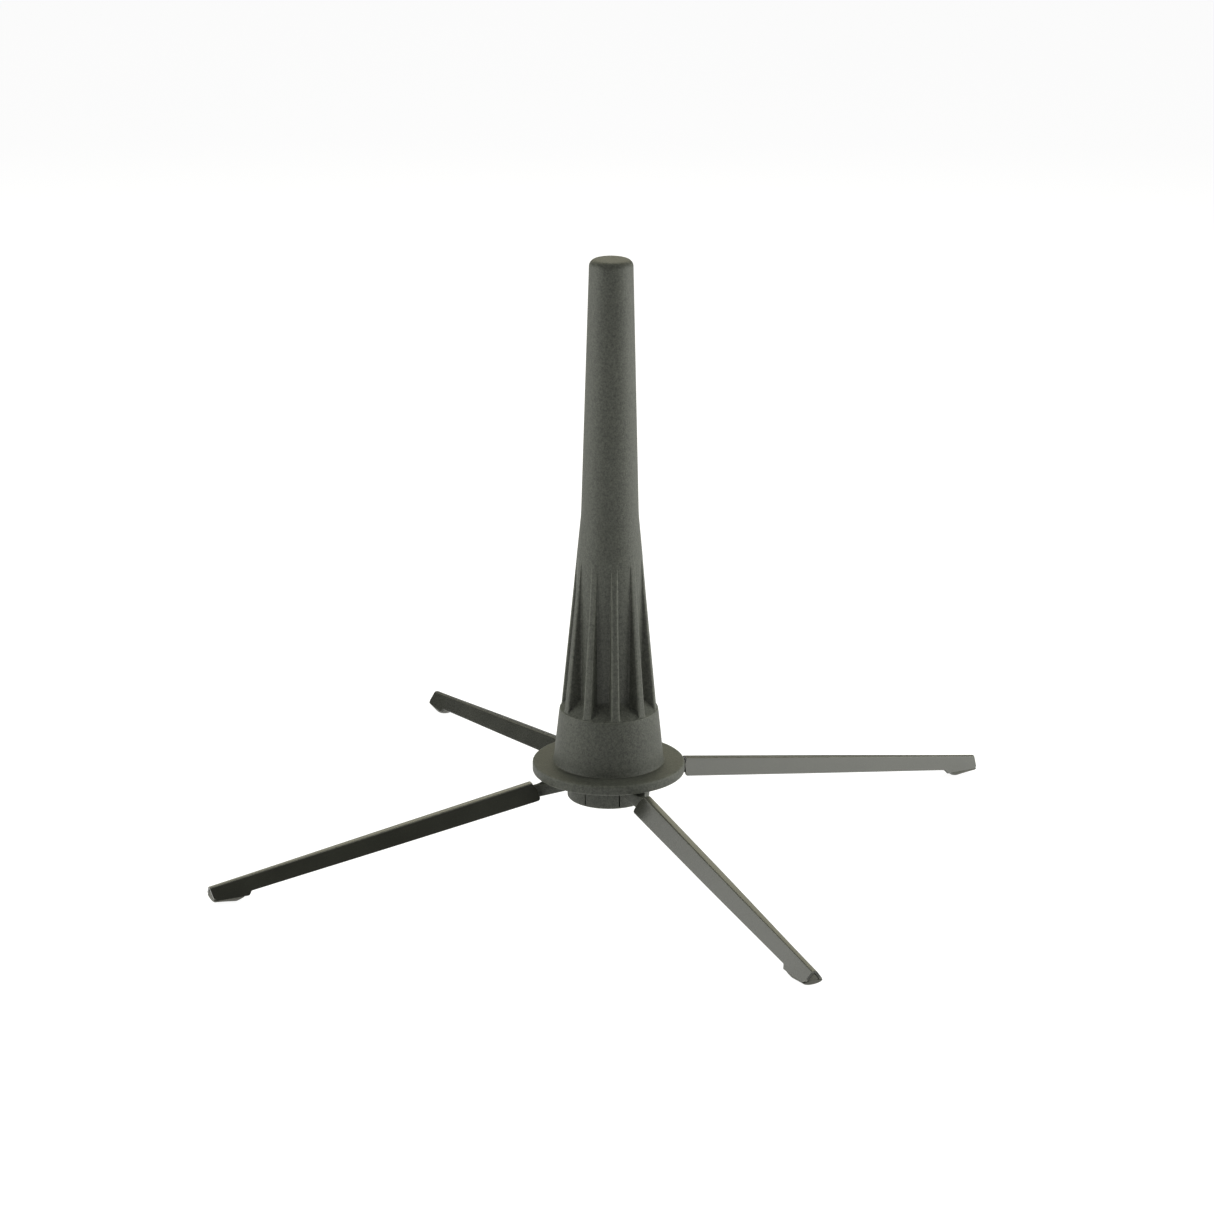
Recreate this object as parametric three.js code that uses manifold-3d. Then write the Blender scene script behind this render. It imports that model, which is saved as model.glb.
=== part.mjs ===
// In-bell trumpet stand: a fluted hollow peg on a slotted hub with four folding channel legs.
// Millimetres, +Z up. The origin is on the floor, on the axis of the peg. Legs lie along +X, +Y, -X, -Y.
import * as THREE from "three";
import { mergeVertices } from "three/addons/utils/BufferGeometryUtils.js";
import Module from "manifold-3d";

const wasm = await Module();
wasm.setup();

// ---- Overall sizes -------------------------------------------------------------------------
const STAND_HEIGHT = 190; // floor to the top of the peg
const BASE_RADIUS = 137; // axis to the end of a leg

// ---- Flange and hub ------------------------------------------------------------------------
const FLANGE_RADIUS = 24.4;
const FLANGE_THICKNESS = 3.3;
const FLANGE_BOTTOM = 22.5; // height above the floor
const FLANGE_EDGE = 0.9; // rounding of the rim
const SPIGOT_HEIGHT = 3; // raised centre that locates the peg
const HUB_RADIUS = 13.2;
const HUB_HEIGHT = 8.7;
const HUB_EDGE = 0.6;
const HUB_SLIT_WIDTH = 0.5;
const HUB_SLIT_DEPTH = 1.2;
const HUB_SLIT_ANGLES = [-10.7, 29.6]; // degrees from each leg

// ---- Peg -----------------------------------------------------------------------------------
const PEG_WALL = 1.8;
const PEG_TOP_RADIUS = 6.9;
const PEG_TOP_ROUNDING = 2;
const PEG_BEND_RADIUS = 9.1; // where the slim taper turns into the wide one
const PEG_BEND_UP = 0.5; // share of the peg length below the bend
const CORE_RADIUS = 10.45; // bottom of the flutes
const FLUTE_FOOT_RADIUS = 15.3; // over the ribs, at the lower end of the flutes
const FLUTE_FLOOR_SLOPE = 40; // degrees that the lower ends of the flutes rise towards the core
const COLLAR_STEP = 0.45; // how far the collar stands out past the ribs
const COLLAR_BASE_RADIUS = 17.7;
const COLLAR_HEIGHT = 18;
const RIB_COUNT = 10;
const RIB_WIDTH = 2.3;
const PEG_MOUTH_RADIUS = 12.9; // open lower end
const PEG_MOUTH_DEPTH = 8;
const PEG_WEB = 11; // solid web that holds the threaded insert

// ---- Centre screw --------------------------------------------------------------------------
const SCREW_RADIUS = 2.4;
const SCREW_HEAD_RADIUS = 4.3;
const SCREW_HEAD_HEIGHT = 2;
const WASHER_RADIUS = 5;
const WASHER_THICKNESS = 0.8;
const INSERT_RADIUS = 4.1;
const INSERT_LENGTH = 10;
const RECESS_DEPTH = 3.6; // for the screw head, in the underside of the hub
const DRIVE_SIDES = 6; // hexagon socket
const DRIVE_RADIUS = 1.4;
const DRIVE_DEPTH = 1.2;

// ---- Legs ----------------------------------------------------------------------------------
const LEG_TIP_TOP = 5.6; // height of the leg's top edge at its end
const LEG_TOP_WIDTH = 2.1; // flat top of the channel
const WALL_SPLAY = 32; // degrees that the side walls lean out
const LEG_SIDES = ["right", "back", "left", "front"]; // along +X, +Y, -X, -Y
const SHEET = 0.8; // sheet thickness
const ROOT_DEPTH = 5.1; // channel depth at the hub
const NECK_DEPTH = 4.05; // channel depth just before the foot
const FOOT_DEPTH = 4.8; // channel depth where the foot begins
const TIP_DEPTH = 3.2; // channel depth at the end
const FOOT_LENGTH = 11;
const FOOT_STEP = 1.6; // length of the slanted step before the foot
const HINGE_OUT = 6.6; // pin axis, out from the rim of the flange
const HINGE_DOWN = 3.2; // pin axis, below the flange
const PIN_TO_TOP = 2.9; // pin axis to the top of the channel
const LEG_TOP_INNER = 3; // how far the flat top reaches inwards past the pin
const LEG_WALL_INNER = 5; // how far the walls reach inwards past the pin
const PIN_RADIUS = 1;

// ---- Arms ----------------------------------------------------------------------------------
const ARM_HEIGHT = 3.7;
const ARM_HALF_WIDTH = 2.4;
const ARM_INNER_END = 5.6; // from the axis
const ARM_NOSE_RADIUS = 1.85; // round end about the pin
const TONGUE_HALF_WIDTH = 0.45; // thin end that swings in the narrow top of the channel
const TONGUE_BEHIND_PIN = 2.6;
const ARM_STRAIGHT_TO = 15; // level part, clamped in the hub
const KEY_START = 8.6; // key rib in the hub slot, from the axis
const KEY_LENGTH = 1.6;
const KEY_HEIGHT = 0.9;

// ---- Foot pads -----------------------------------------------------------------------------
const PAD_HALF_WIDTH = 3.3;
const PAD_SOLE_FLAT = 1; // half width of the strip on the floor
const PAD_SOLE_ROUND = 2.6; // height of the rounding of the sole
const PAD_TOE = 7.2; // outer end of the level sole, in from the end
const PAD_LEVEL = 2.4; // length of the level sole
const PAD_INNER = 12.6; // inner end of the pad, in from the end
const PAD_HEEL_CURVE = 0.45; // how late the sole comes down to the floor
const PAD_TOE_CURVE = 0.6; // how late it leaves the floor

// ---- Clearances ----------------------------------------------------------------------------
const SEAT_GAP = 0.15; // between faces that rest on each other
const SLIDE_GAP = 0.3; // around the arms and in the peg mouth
const RUNNING_GAP = 0.2; // around the pin, in the leg
const SHANK_GAP = 0.3; // around the screw

const ROUND_SEGMENTS = 60;
const SMALL_SEGMENTS = 20;
const SIDE_SEGMENTS = 10;
const SECTION_SEGMENTS = 8;
const ROUNDING_STEPS = 4;
const FAR = 200; // longer than anything that it cuts
const PAST_END = 1; // how far a cutter runs past the face it opens
const WELD = 1e-4; // corners closer than this are one

// ---- Heights and slopes that follow ---------------------------------------------------------
const FLANGE_TOP = FLANGE_BOTTOM + FLANGE_THICKNESS;
const HUB_TOP = FLANGE_BOTTOM - SEAT_GAP;
const HUB_BOTTOM = HUB_TOP - HUB_HEIGHT;
const PEG_BOTTOM = FLANGE_TOP + SEAT_GAP;
const PEG_LENGTH = STAND_HEIGHT - PEG_BOTTOM;
const BEND_HEIGHT = PEG_BOTTOM + PEG_BEND_UP * PEG_LENGTH;
const COLLAR_TOP = PEG_BOTTOM + COLLAR_HEIGHT;
const WEB_BOTTOM = PEG_BOTTOM + PEG_MOUTH_DEPTH;
const WEB_TOP = WEB_BOTTOM + PEG_WEB;
const PIN_X = FLANGE_RADIUS + HINGE_OUT;
const PIN_Z = FLANGE_BOTTOM - HINGE_DOWN;
const SPLAY = Math.tan(THREE.MathUtils.degToRad(WALL_SPLAY));
const PIN_TO_TIP = Math.hypot(BASE_RADIUS - PIN_X, PIN_Z - LEG_TIP_TOP);
const PIN_TO_TIP_SLOPE = Math.atan((PIN_Z - LEG_TIP_TOP) / (BASE_RADIUS - PIN_X));
const LEG_TILT = PIN_TO_TIP_SLOPE + Math.asin(PIN_TO_TOP / PIN_TO_TIP);
const LEG_REACH = Math.sqrt(PIN_TO_TIP ** 2 - PIN_TO_TOP ** 2); // pin to tip along the leg

// ---- Solid helpers -------------------------------------------------------------------------
function toSolid(geometry) {
  const bare = geometry.index ? geometry.toNonIndexed() : geometry.clone();
  bare.deleteAttribute("normal");
  bare.deleteAttribute("uv");
  const merged = mergeVertices(bare, WELD);
  const mesh = new wasm.Mesh({
    numProp: 3,
    vertProperties: new Float32Array(merged.attributes.position.array),
    triVerts: new Uint32Array(merged.index.array),
  });
  mesh.merge();
  return new wasm.Manifold(mesh);
}

function toGeometry(solid) {
  const mesh = solid.getMesh();
  const geometry = new THREE.BufferGeometry();
  geometry.setAttribute("position", new THREE.BufferAttribute(mesh.vertProperties, 3));
  geometry.setIndex(new THREE.BufferAttribute(mesh.triVerts, 1));
  geometry.computeVertexNormals();
  return geometry;
}

// Turned solid about Z from [radius, height] corners, listed from the axis upwards and back to it.
function turned(corners, segments = ROUND_SEGMENTS) {
  const profile = corners.map(([radius, height]) => new THREE.Vector2(radius, height));
  return toSolid(new THREE.LatheGeometry(profile, segments).rotateX(Math.PI / 2));
}

function cylinder(radius, low, high, segments = ROUND_SEGMENTS) {
  const height = high - low;
  const geometry = new THREE.CylinderGeometry(radius, radius, height, segments);
  return toSolid(geometry.rotateX(Math.PI / 2).translate(0, 0, low + height / 2));
}

function box(sizeX, sizeY, sizeZ, x, y, z) {
  return toSolid(new THREE.BoxGeometry(sizeX, sizeY, sizeZ).translate(x, y, z));
}

// Side outline in X-Z, given its thickness equally to both sides of Y = 0.
function sidePrism(shape, halfWidth) {
  const settings = { depth: 2 * halfWidth, bevelEnabled: false, curveSegments: SIDE_SEGMENTS };
  const geometry = new THREE.ExtrudeGeometry(shape, settings);
  return toSolid(geometry.rotateX(Math.PI / 2).translate(0, halfWidth, 0));
}

// Cross-section in Y-Z, run along X from one place to another.
function lengthPrism(shape, fromX, toX) {
  const settings = { depth: toX - fromX, bevelEnabled: false, curveSegments: SECTION_SEGMENTS };
  const geometry = new THREE.ExtrudeGeometry(shape, settings);
  return toSolid(geometry.rotateX(Math.PI / 2).rotateZ(Math.PI / 2).translate(fromX, 0, 0));
}

function polygon(corners) {
  return new THREE.Shape(corners.map(([x, y]) => new THREE.Vector2(x, y)));
}

function crossPin(radius, halfLength) {
  const geometry = new THREE.CylinderGeometry(radius, radius, 2 * halfLength, SMALL_SEGMENTS);
  return toSolid(geometry.translate(PIN_X, 0, PIN_Z));
}

// From leg coordinates (along the leg from the pin, above the pin) to [x, z].
function onLeg(along, above) {
  const x = PIN_X + along * Math.cos(LEG_TILT) + above * Math.sin(LEG_TILT);
  const z = PIN_Z - along * Math.sin(LEG_TILT) + above * Math.cos(LEG_TILT);
  return [x, z];
}

// The splayed section of the channel, sunk by a distance from its outer faces, run along the leg.
function splayedBar(sunkSides, sunkTop, fromAlong, toAlong) {
  const top = PIN_TO_TOP - sunkTop;
  const halfTop = LEG_TOP_WIDTH / 2 + sunkTop * SPLAY - sunkSides * Math.hypot(1, SPLAY);
  const drop = FLANGE_TOP; // past the lowest part of any piece cut with this bar
  const section = polygon([
    [-halfTop, top],
    [-halfTop - drop * SPLAY, top - drop],
    [halfTop + drop * SPLAY, top - drop],
    [halfTop, top],
  ]);
  const bar = lengthPrism(section, fromAlong, toAlong);
  return bar.rotate([0, THREE.MathUtils.radToDeg(LEG_TILT), 0]).translate([PIN_X, 0, PIN_Z]);
}

// ---- Peg -----------------------------------------------------------------------------------
function ribs() {
  let all = null;
  for (let k = 0; k < RIB_COUNT; k += 1) {
    const rib = box(FAR, RIB_WIDTH, FAR, FAR / 2, 0, COLLAR_TOP).rotate([0, 0, (k * 360) / RIB_COUNT]);
    all = all ? all.add(rib) : rib;
  }
  return all;
}

function pegShell() {
  const rounding = [];
  for (let k = 0; k <= ROUNDING_STEPS; k += 1) {
    const angle = (k / ROUNDING_STEPS) * (Math.PI / 2);
    const radius = PEG_TOP_RADIUS - PEG_TOP_ROUNDING * (1 - Math.cos(angle));
    rounding.push([radius, STAND_HEIGHT - PEG_TOP_ROUNDING * (1 - Math.sin(angle))]);
  }
  const outside = turned([
    [0, PEG_BOTTOM],
    [COLLAR_BASE_RADIUS, PEG_BOTTOM],
    [FLUTE_FOOT_RADIUS + COLLAR_STEP, COLLAR_TOP - COLLAR_STEP],
    [FLUTE_FOOT_RADIUS, COLLAR_TOP],
    [PEG_BEND_RADIUS, BEND_HEIGHT],
    ...rounding,
    [0, STAND_HEIGHT],
  ]);
  const floorRise = Math.tan(THREE.MathUtils.degToRad(FLUTE_FLOOR_SLOPE));
  const floorAt = (radius) => COLLAR_TOP + (FLUTE_FOOT_RADIUS - radius) * floorRise;
  const fluteRing = turned([
    [CORE_RADIUS, floorAt(CORE_RADIUS)],
    [FAR, floorAt(FAR)],
    [FAR, BEND_HEIGHT],
    [CORE_RADIUS, BEND_HEIGHT],
    [CORE_RADIUS, floorAt(CORE_RADIUS)],
  ]);
  const mouth = cylinder(PEG_MOUTH_RADIUS, PEG_BOTTOM - FAR, WEB_BOTTOM);
  const holeRadius = INSERT_RADIUS + SEAT_GAP;
  const insertHole = cylinder(holeRadius, WEB_BOTTOM - PEG_WALL, WEB_TOP + PEG_WALL, SMALL_SEGMENTS);
  const hollow = turned([
    [0, WEB_TOP],
    [CORE_RADIUS - PEG_WALL, WEB_TOP],
    [Math.min(PEG_BEND_RADIUS, CORE_RADIUS) - PEG_WALL, BEND_HEIGHT],
    [PEG_TOP_RADIUS - PEG_WALL, STAND_HEIGHT - PEG_TOP_ROUNDING - PEG_WALL],
    [0, STAND_HEIGHT - PEG_TOP_ROUNDING - PEG_WALL],
  ]);
  return outside.subtract(fluteRing.subtract(ribs())).subtract(mouth).subtract(insertHole).subtract(hollow);
}

// ---- Flange and hub ------------------------------------------------------------------------
function flangeDisc() {
  const disc = turned([
    [0, FLANGE_BOTTOM],
    [FLANGE_RADIUS - FLANGE_EDGE / 2, FLANGE_BOTTOM],
    [FLANGE_RADIUS, FLANGE_BOTTOM + FLANGE_EDGE / 2],
    [FLANGE_RADIUS, FLANGE_TOP - FLANGE_EDGE],
    [FLANGE_RADIUS - FLANGE_EDGE, FLANGE_TOP],
    [PEG_MOUTH_RADIUS - SLIDE_GAP, FLANGE_TOP],
    [PEG_MOUTH_RADIUS - SLIDE_GAP, FLANGE_TOP + SPIGOT_HEIGHT],
    [0, FLANGE_TOP + SPIGOT_HEIGHT],
  ]);
  return disc.subtract(cylinder(SCREW_RADIUS + SHANK_GAP, 0, FAR, SMALL_SEGMENTS));
}

function armFloor() {
  return HUB_TOP - SEAT_GAP - ARM_HEIGHT;
}

function hubDrum() {
  let hub = turned([
    [0, HUB_BOTTOM],
    [HUB_RADIUS - HUB_EDGE, HUB_BOTTOM],
    [HUB_RADIUS, HUB_BOTTOM + HUB_EDGE],
    [HUB_RADIUS, HUB_TOP],
    [0, HUB_TOP],
  ]);
  hub = hub.subtract(cylinder(SCREW_RADIUS + SHANK_GAP, 0, FAR, SMALL_SEGMENTS));
  const recess = WASHER_RADIUS + SLIDE_GAP;
  hub = hub.subtract(cylinder(recess, HUB_BOTTOM - FAR, HUB_BOTTOM + RECESS_DEPTH, SMALL_SEGMENTS * 2));
  const slotWidth = 2 * (ARM_HALF_WIDTH + SLIDE_GAP);
  const slotFloor = armFloor() - SEAT_GAP;
  const slotStart = ARM_INNER_END - SLIDE_GAP;
  const slot = box(FAR, slotWidth, FAR, slotStart + FAR / 2, 0, slotFloor + FAR / 2);
  const keyMiddle = KEY_START + KEY_LENGTH / 2;
  const key = box(KEY_LENGTH, slotWidth + SEAT_GAP, 2 * KEY_HEIGHT, keyMiddle, 0, slotFloor);
  const cut = slot.subtract(key);
  const slitX = HUB_RADIUS - HUB_SLIT_DEPTH + FAR / 2;
  const slit = box(FAR, HUB_SLIT_WIDTH, FAR, slitX, 0, HUB_BOTTOM + HUB_EDGE);
  for (let k = 0; k < LEG_SIDES.length; k += 1) {
    hub = hub.subtract(cut.rotate([0, 0, 90 * k]));
    for (const angle of HUB_SLIT_ANGLES) {
      hub = hub.subtract(slit.rotate([0, 0, 90 * k + angle]));
    }
  }
  return hub;
}

// ---- Centre screw --------------------------------------------------------------------------
const WASHER_TOP = HUB_BOTTOM + RECESS_DEPTH - SEAT_GAP;
const HEAD_TOP = WASHER_TOP - WASHER_THICKNESS - SEAT_GAP;
const INSERT_BOTTOM = WEB_BOTTOM + SEAT_GAP;

function centreScrew() {
  const head = cylinder(SCREW_HEAD_RADIUS, HEAD_TOP - SCREW_HEAD_HEIGHT, HEAD_TOP, SMALL_SEGMENTS * 2);
  const shankStart = HEAD_TOP - SCREW_HEAD_HEIGHT / 2;
  const shank = cylinder(SCREW_RADIUS, shankStart, INSERT_BOTTOM + INSERT_LENGTH, SMALL_SEGMENTS);
  const socketTop = HEAD_TOP - SCREW_HEAD_HEIGHT + DRIVE_DEPTH;
  return head.add(shank).subtract(cylinder(DRIVE_RADIUS, socketTop - FAR, socketTop, DRIVE_SIDES));
}

function washer() {
  const disc = cylinder(WASHER_RADIUS, WASHER_TOP - WASHER_THICKNESS, WASHER_TOP, SMALL_SEGMENTS * 2);
  return disc.subtract(cylinder(SCREW_RADIUS + SHANK_GAP, 0, FAR, SMALL_SEGMENTS));
}

function threadedInsert() {
  const sleeve = cylinder(INSERT_RADIUS, INSERT_BOTTOM, INSERT_BOTTOM + INSERT_LENGTH, SMALL_SEGMENTS);
  return sleeve.subtract(cylinder(SCREW_RADIUS + SEAT_GAP, 0, FAR, SMALL_SEGMENTS));
}

// ---- One arm, pin, leg and pad, lying along +X ----------------------------------------------
function armBar() {
  const floor = armFloor();
  const bottomAtPin = PIN_Z - ARM_NOSE_RADIUS;
  const outline = new THREE.Shape();
  outline.moveTo(ARM_INNER_END, floor);
  outline.lineTo(KEY_START - SLIDE_GAP, floor);
  outline.lineTo(KEY_START - SLIDE_GAP, floor + KEY_HEIGHT + SEAT_GAP);
  outline.lineTo(KEY_START + KEY_LENGTH + SLIDE_GAP, floor + KEY_HEIGHT + SEAT_GAP);
  outline.lineTo(KEY_START + KEY_LENGTH + SLIDE_GAP, floor);
  outline.lineTo(ARM_STRAIGHT_TO, floor);
  outline.lineTo(PIN_X, bottomAtPin);
  outline.absarc(PIN_X, PIN_Z, ARM_NOSE_RADIUS, -Math.PI / 2, Math.PI / 2, false);
  outline.lineTo(ARM_STRAIGHT_TO, floor + ARM_HEIGHT);
  outline.lineTo(ARM_INNER_END, floor + ARM_HEIGHT);
  const side = sidePrism(outline, ARM_HALF_WIDTH);
  const sunk = SHEET + SLIDE_GAP;
  const bar = side.intersect(splayedBar(sunk, sunk, -PIN_X, LEG_REACH));
  const tongueX = PIN_X - TONGUE_BEHIND_PIN + FAR / 2;
  const besideTongue = box(FAR, FAR, FAR, tongueX, FAR / 2 + TONGUE_HALF_WIDTH, PIN_Z);
  const otherSide = box(FAR, FAR, FAR, tongueX, -FAR / 2 - TONGUE_HALF_WIDTH, PIN_Z);
  return bar.subtract(besideTongue).subtract(otherSide).subtract(crossPin(PIN_RADIUS + SEAT_GAP, FAR));
}

function hingePin() {
  const halfAtPinTop = LEG_TOP_WIDTH / 2 + (PIN_TO_TOP - PIN_RADIUS) * SPLAY;
  return crossPin(PIN_RADIUS, halfAtPinTop);
}

const FOOT_ALONG = LEG_REACH - FOOT_LENGTH;

function channelLeg() {
  const corners = [
    onLeg(-LEG_TOP_INNER, PIN_TO_TOP + PAST_END),
    onLeg(-LEG_TOP_INNER, PIN_TO_TOP - SHEET),
    onLeg(-LEG_WALL_INNER, PIN_TO_TOP - ROOT_DEPTH),
    onLeg(FOOT_ALONG - FOOT_STEP, PIN_TO_TOP - NECK_DEPTH),
    onLeg(FOOT_ALONG, PIN_TO_TOP - FOOT_DEPTH),
    onLeg(LEG_REACH, PIN_TO_TOP - TIP_DEPTH),
    onLeg(LEG_REACH, PIN_TO_TOP + PAST_END),
  ];
  const outline = sidePrism(polygon(corners), FAR);
  const outer = splayedBar(0, 0, -2 * LEG_WALL_INNER, LEG_REACH + PAST_END);
  const inner = splayedBar(SHEET, SHEET, -3 * LEG_WALL_INNER, LEG_REACH + 2 * PAST_END);
  const pinHole = crossPin(PIN_RADIUS + RUNNING_GAP, FAR);
  return outer.intersect(outline).subtract(inner).subtract(pinHole);
}

function footPad() {
  const [innerX, innerZ] = onLeg(LEG_REACH - PAD_INNER, PIN_TO_TOP - NECK_DEPTH);
  const [endX, endZ] = onLeg(LEG_REACH, PIN_TO_TOP - TIP_DEPTH);
  const [roofEndX, roofEndZ] = onLeg(LEG_REACH, PIN_TO_TOP);
  const [roofX, roofZ] = onLeg(LEG_REACH - PAD_INNER, PIN_TO_TOP);
  const toeX = onLeg(LEG_REACH - PAD_TOE, 0)[0];
  const side = new THREE.Shape();
  side.moveTo(innerX, innerZ);
  const heelX = toeX - PAD_LEVEL;
  side.quadraticCurveTo(innerX + (heelX - innerX) * PAD_HEEL_CURVE, 0, heelX, 0);
  side.lineTo(toeX, 0);
  side.quadraticCurveTo(toeX + (endX - toeX) * PAD_TOE_CURVE, 0, endX, endZ - SHEET);
  side.lineTo(roofEndX, roofEndZ);
  side.lineTo(roofX, roofZ);
  const round = new THREE.Shape();
  round.moveTo(-PAD_SOLE_FLAT, 0);
  round.lineTo(PAD_SOLE_FLAT, 0);
  round.quadraticCurveTo(PAD_HALF_WIDTH, 0, PAD_HALF_WIDTH, PAD_SOLE_ROUND);
  round.lineTo(PAD_HALF_WIDTH, FLANGE_TOP);
  round.lineTo(-PAD_HALF_WIDTH, FLANGE_TOP);
  round.lineTo(-PAD_HALF_WIDTH, PAD_SOLE_ROUND);
  round.quadraticCurveTo(-PAD_HALF_WIDTH, 0, -PAD_SOLE_FLAT, 0);
  const whole = sidePrism(side, PAD_HALF_WIDTH + PAST_END).intersect(lengthPrism(round, 0, 2 * BASE_RADIUS));
  const sunk = SHEET + SEAT_GAP;
  const inChannel = splayedBar(sunk, sunk, 0, LEG_REACH + PAST_END);
  const gapDepth = SEAT_GAP * 2;
  const below = polygon([
    onLeg(0, -FAR),
    onLeg(0, PIN_TO_TOP - ROOT_DEPTH - gapDepth),
    onLeg(FOOT_ALONG - FOOT_STEP - gapDepth, PIN_TO_TOP - NECK_DEPTH - gapDepth),
    onLeg(FOOT_ALONG - gapDepth, PIN_TO_TOP - FOOT_DEPTH - gapDepth),
    onLeg(LEG_REACH + PAST_END, PIN_TO_TOP - TIP_DEPTH - gapDepth),
    onLeg(LEG_REACH + PAST_END, -FAR),
  ]);
  return whole.intersect(inChannel.add(sidePrism(below, FAR)));
}

// ---- Materials and assembly ----------------------------------------------------------------
const mouldedPlastic = new THREE.MeshStandardMaterial({ color: 0x53544f, roughness: 0.62, metalness: 0 });
const paintedSteel = new THREE.MeshStandardMaterial({ color: 0x4a4b45, roughness: 0.42, metalness: 0.1 });
const padPlastic = new THREE.MeshStandardMaterial({ color: 0x45453e, roughness: 0.7, metalness: 0 });
const zincSteel = new THREE.MeshStandardMaterial({ color: 0x8c8d8a, roughness: 0.35, metalness: 0.9 });
const brass = new THREE.MeshStandardMaterial({ color: 0xb08d4a, roughness: 0.3, metalness: 1 });

const stand = new THREE.Group();

function addMesh(parent, name, geometry, material) {
  const mesh = new THREE.Mesh(geometry, material);
  mesh.name = name;
  parent.add(mesh);
}

addMesh(stand, "peg", toGeometry(pegShell()), mouldedPlastic);
addMesh(stand, "flange_disc", toGeometry(flangeDisc()), mouldedPlastic);
addMesh(stand, "hub_drum", toGeometry(hubDrum()), mouldedPlastic);
addMesh(stand, "centre_screw", toGeometry(centreScrew()), zincSteel);
addMesh(stand, "screw_washer", toGeometry(washer()), zincSteel);
addMesh(stand, "threaded_insert", toGeometry(threadedInsert()), brass);

const legPieces = [
  ["arm", toGeometry(armBar()), paintedSteel],
  ["hinge_pin", toGeometry(hingePin()), zincSteel],
  ["leg", toGeometry(channelLeg()), paintedSteel],
  ["foot_pad", toGeometry(footPad()), padPlastic],
];

LEG_SIDES.forEach((side, k) => {
  const turn = new THREE.Group();
  turn.rotation.z = (k * Math.PI) / 2;
  for (const [piece, geometry, material] of legPieces) {
    addMesh(turn, `${piece}_${side}`, geometry, material);
  }
  stand.add(turn);
});

export default stand;
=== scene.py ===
"""Trumpet stand: detailed pieces, finishes and a plain studio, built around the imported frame."""

import math

import bmesh
import bpy
from bpy.props import FloatProperty, FloatVectorProperty, PointerProperty
from mathutils import Matrix, Vector


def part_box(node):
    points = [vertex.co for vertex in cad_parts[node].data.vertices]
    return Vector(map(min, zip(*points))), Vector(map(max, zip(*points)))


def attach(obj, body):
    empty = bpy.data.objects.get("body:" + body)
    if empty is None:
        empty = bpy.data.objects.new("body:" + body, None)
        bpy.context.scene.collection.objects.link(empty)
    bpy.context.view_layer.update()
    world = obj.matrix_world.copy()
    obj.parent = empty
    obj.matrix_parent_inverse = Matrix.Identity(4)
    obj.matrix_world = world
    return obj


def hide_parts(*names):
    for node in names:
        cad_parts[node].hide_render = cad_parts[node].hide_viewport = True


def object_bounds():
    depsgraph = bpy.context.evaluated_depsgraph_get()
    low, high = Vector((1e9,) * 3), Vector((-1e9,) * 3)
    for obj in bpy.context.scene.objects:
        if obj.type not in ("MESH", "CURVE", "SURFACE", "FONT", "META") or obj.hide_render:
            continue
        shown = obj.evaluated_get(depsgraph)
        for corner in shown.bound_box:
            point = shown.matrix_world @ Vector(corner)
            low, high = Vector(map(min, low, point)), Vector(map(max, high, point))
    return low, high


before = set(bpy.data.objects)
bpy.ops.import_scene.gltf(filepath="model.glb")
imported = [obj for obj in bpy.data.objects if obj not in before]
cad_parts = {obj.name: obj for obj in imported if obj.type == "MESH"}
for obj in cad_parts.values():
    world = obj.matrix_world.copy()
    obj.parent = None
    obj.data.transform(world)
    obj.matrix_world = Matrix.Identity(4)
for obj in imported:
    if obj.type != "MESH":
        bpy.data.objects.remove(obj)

bl_info = {
    "name": "Trumpet Stand",
    "version": (1, 0, 0),
    "blender": (4, 5, 0),
    "location": "View3D > Sidebar > Stand",
    "description": "Builds a folding in-bell trumpet stand around its frame",
    "category": "Add Mesh",
}

MM = 0.001
WELD = 1e-6  # corners nearer than this are one
SIDES = ("right", "back", "left", "front")  # legs along +X, +Y, -X, -Y
QUARTER = math.pi / 2
CAD_BOX = [list(corner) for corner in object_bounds()]

PEG_LOW, PEG_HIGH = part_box("peg")
FLANGE_LOW, FLANGE_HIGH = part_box("flange_disc")
HUB_LOW, HUB_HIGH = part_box("hub_drum")
ARM_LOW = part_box("arm_right")[0]
LEG_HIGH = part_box("leg_right")[1]
PIN_LOW, PIN_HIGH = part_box("hinge_pin_right")
SCREW_LOW, SCREW_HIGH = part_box("centre_screw")
WASHER_LOW, WASHER_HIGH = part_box("screw_washer")
PIN_AXIS = (PIN_LOW + PIN_HIGH) / 2
ALONG_PIN = Matrix.Translation(PIN_AXIS) @ Matrix.Rotation(QUARTER, 4, "X")


# ---- Sizes and colours that a user may change -------------------------------------------------
def length(name, description, millimetres, least=0.0):
    """A length property with its default and least value given in millimetres."""
    return FloatProperty(
        name=name,
        description=description,
        default=millimetres * MM,
        min=least * MM,
        precision=5,
        unit="LENGTH",
        subtype="DISTANCE",
    )


def slope(name, description, degrees):
    """An angle property with its default given in degrees."""
    return FloatProperty(
        name=name,
        description=description,
        default=math.radians(degrees),
        unit="ROTATION",
        subtype="ANGLE",
    )


def colour(name, description, red, green, blue):
    """A linear colour property."""
    return FloatVectorProperty(
        name=name,
        description=description,
        default=(red, green, blue),
        min=0.0,
        max=1.0,
        size=3,
        subtype="COLOR",
    )


def power(name, description, watts):
    """The power of a light."""
    return FloatProperty(
        name=name, description=description, default=watts, min=0.0, unit="POWER"
    )


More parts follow.
